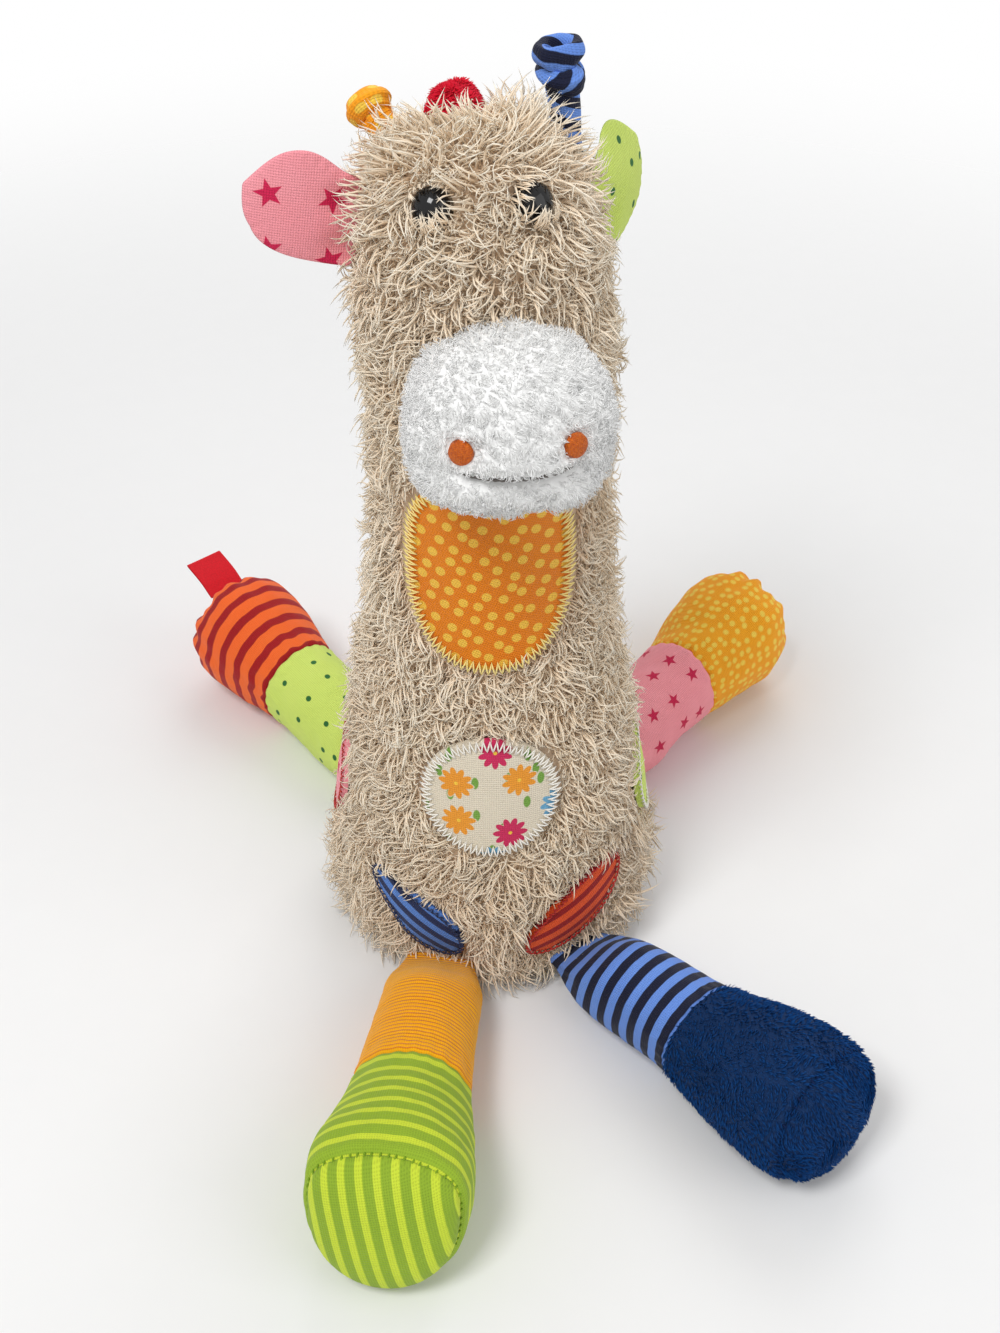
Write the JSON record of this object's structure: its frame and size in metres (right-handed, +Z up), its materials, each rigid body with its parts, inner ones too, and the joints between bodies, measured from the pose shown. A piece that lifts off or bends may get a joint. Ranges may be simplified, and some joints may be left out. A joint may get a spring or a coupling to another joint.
{
  "type": "plush giraffe",
  "caption": "Sitting patchwork plush giraffe: a long-pile stuffed column with white muzzle, padded ears, knotted horns, sewn cloth patches and floppy stuffed legs.",
  "frame": {"origin": "middle of the flat seat under the torso, on the surface that the toy sits on", "axes": "+Z up along the body and neck, -Y the way the toy faces, +X to the right of someone looking at its face"},
  "size_m": [0.2814, 0.3546, 0.3434],
  "materials": {
    "beige_plush": "long curled pile",
    "white_plush": "short fluffy pile",
    "navy_plush": "velour pile",
    "red_plush": "short pile",
    "filling": "polyester wadding",
    "orange_satin": "printed satin with yellow dots",
    "gold_thread": "glossy embroidery thread",
    "cream_print": "printed cotton",
    "pale_thread": "embroidery thread",
    "orange_thread": "satin-stitch embroidery",
    "blue_stripe": "woven stripes of cornflower and navy",
    "red_stripe": "woven stripes of orange and dark red",
    "green_stripe": "woven stripes of two greens",
    "pink_star": "twill printed with stars",
    "lime_dot": "cotton printed with small dots",
    "orange_dot": "cotton printed with yellow dots",
    "corduroy": "fine-ribbed corduroy",
    "red_ribbon": "plain woven ribbon",
    "eye_plastic": "polished dome",
    "washer_plastic": "moulded"
  },
  "bodies": {
    "body": {"torso_cover": "beige_plush", "torso_filling": "filling", "neck_patch": "orange_satin", "neck_patch_stitching": "gold_thread", "tummy_patch": "cream_print", "tummy_patch_stitching": "pale_thread", "hip_patch_left": "blue_stripe", "hip_patch_right": "red_stripe", "side_patch_left": "pink_star", "side_patch_right": "lime_dot"},
    "head": {"head_cover": "beige_plush", "head_filling": "filling", "muzzle_cover": "white_plush", "muzzle_filling": "filling", "mouth_stitch": "pale_thread", "nostril_left": "orange_thread", "nostril_right": "orange_thread", "eye_left": "eye_plastic", "eye_right": "eye_plastic", "eye_washer_left": "washer_plastic", "eye_washer_right": "washer_plastic", "mane_tuft": "red_plush"},
    "left_ear": {"ear_left_front": "pink_star", "ear_left_back": "pink_star"},
    "right_ear": {"ear_right_front": "lime_dot", "ear_right_back": "lime_dot"},
    "left_horn": {"horn_left": "orange_dot"},
    "right_horn": {"horn_right": "blue_stripe"},
    "front_left_leg": {"leg_front_left": "corduroy", "foot_front_left": "green_stripe", "sole_front_left": "green_stripe", "leg_filling_front_left": "filling"},
    "front_right_leg": {"leg_front_right": "blue_stripe", "foot_front_right": "navy_plush", "sole_front_right": "navy_plush", "leg_filling_front_right": "filling"},
    "back_left_leg": {"leg_back_left": "lime_dot", "foot_back_left": "red_stripe", "leg_filling_back_left": "filling"},
    "back_right_leg": {"leg_back_right": "pink_star", "foot_back_right": "orange_dot", "leg_filling_back_right": "filling"},
    "tag": {"label_tag": "red_ribbon"}
  },
  "joints": [
    {"name": "head_nod", "type": "hinge", "parent": "body", "child": "head", "pos_m": [0, 0, 0.202], "axis": [0.9925, 0.1219, 0], "range_deg": [-12, 18], "stiffness_Nm_per_rad": 0.6},
    {"name": "left_ear_flap", "type": "hinge", "parent": "head", "child": "left_ear", "pos_m": [-0.04225, -0.00519, 0.29702], "axis": [0.1479, 0.0182, 0.9888], "range_deg": [-40, 40], "stiffness_Nm_per_rad": 0.012},
    {"name": "right_ear_flap", "type": "hinge", "parent": "head", "child": "right_ear", "pos_m": [0.03512, 0.01131, 0.29204], "axis": [-0.2313, -0.0707, 0.9703], "range_deg": [-60, 15], "stiffness_Nm_per_rad": 0.012},
    {"name": "left_horn_flop", "type": "hinge", "parent": "head", "child": "left_horn", "pos_m": [-0.03036, 0.01745, 0.316], "axis": [-0.5736, -0.8191, 0], "range_deg": [-25, 12], "stiffness_Nm_per_rad": 0.012},
    {"name": "right_horn_flop", "type": "hinge", "parent": "head", "child": "right_horn", "pos_m": [0.0238, 0.0178, 0.312], "axis": [-0.5446, 0.8387, 0], "range_deg": [-2, 40], "stiffness_Nm_per_rad": 0.012},
    {"name": "front_left_leg_swing", "type": "hinge", "parent": "body", "child": "front_left_leg", "pos_m": [-0.02005, -0.05823, 0.015], "axis": [-0.9455, 0.3256, 0], "range_deg": [-65, 40]},
    {"name": "front_right_leg_swing", "type": "hinge", "parent": "body", "child": "front_right_leg", "pos_m": [0.03354, -0.05165, 0.015], "axis": [-0.8387, -0.5446, 0], "range_deg": [-65, 40]},
    {"name": "back_left_leg_swing", "type": "hinge", "parent": "body", "child": "back_left_leg", "pos_m": [-0.0404, 0.04648, 0.015], "axis": [0.7547, 0.6561, 0], "range_deg": [-65, 40]},
    {"name": "back_right_leg_swing", "type": "hinge", "parent": "body", "child": "back_right_leg", "pos_m": [0.03959, 0.04718, 0.015], "axis": [0.766, -0.6428, 0], "range_deg": [-65, 40]},
    {"name": "tag_flap", "type": "hinge", "parent": "back_left_leg", "child": "tag", "pos_m": [-0.12478, 0.14354, 0.04306], "axis": [0.7547, 0.6561, 0], "range_deg": [-30, 30], "stiffness_Nm_per_rad": 0.004}
  ]
}
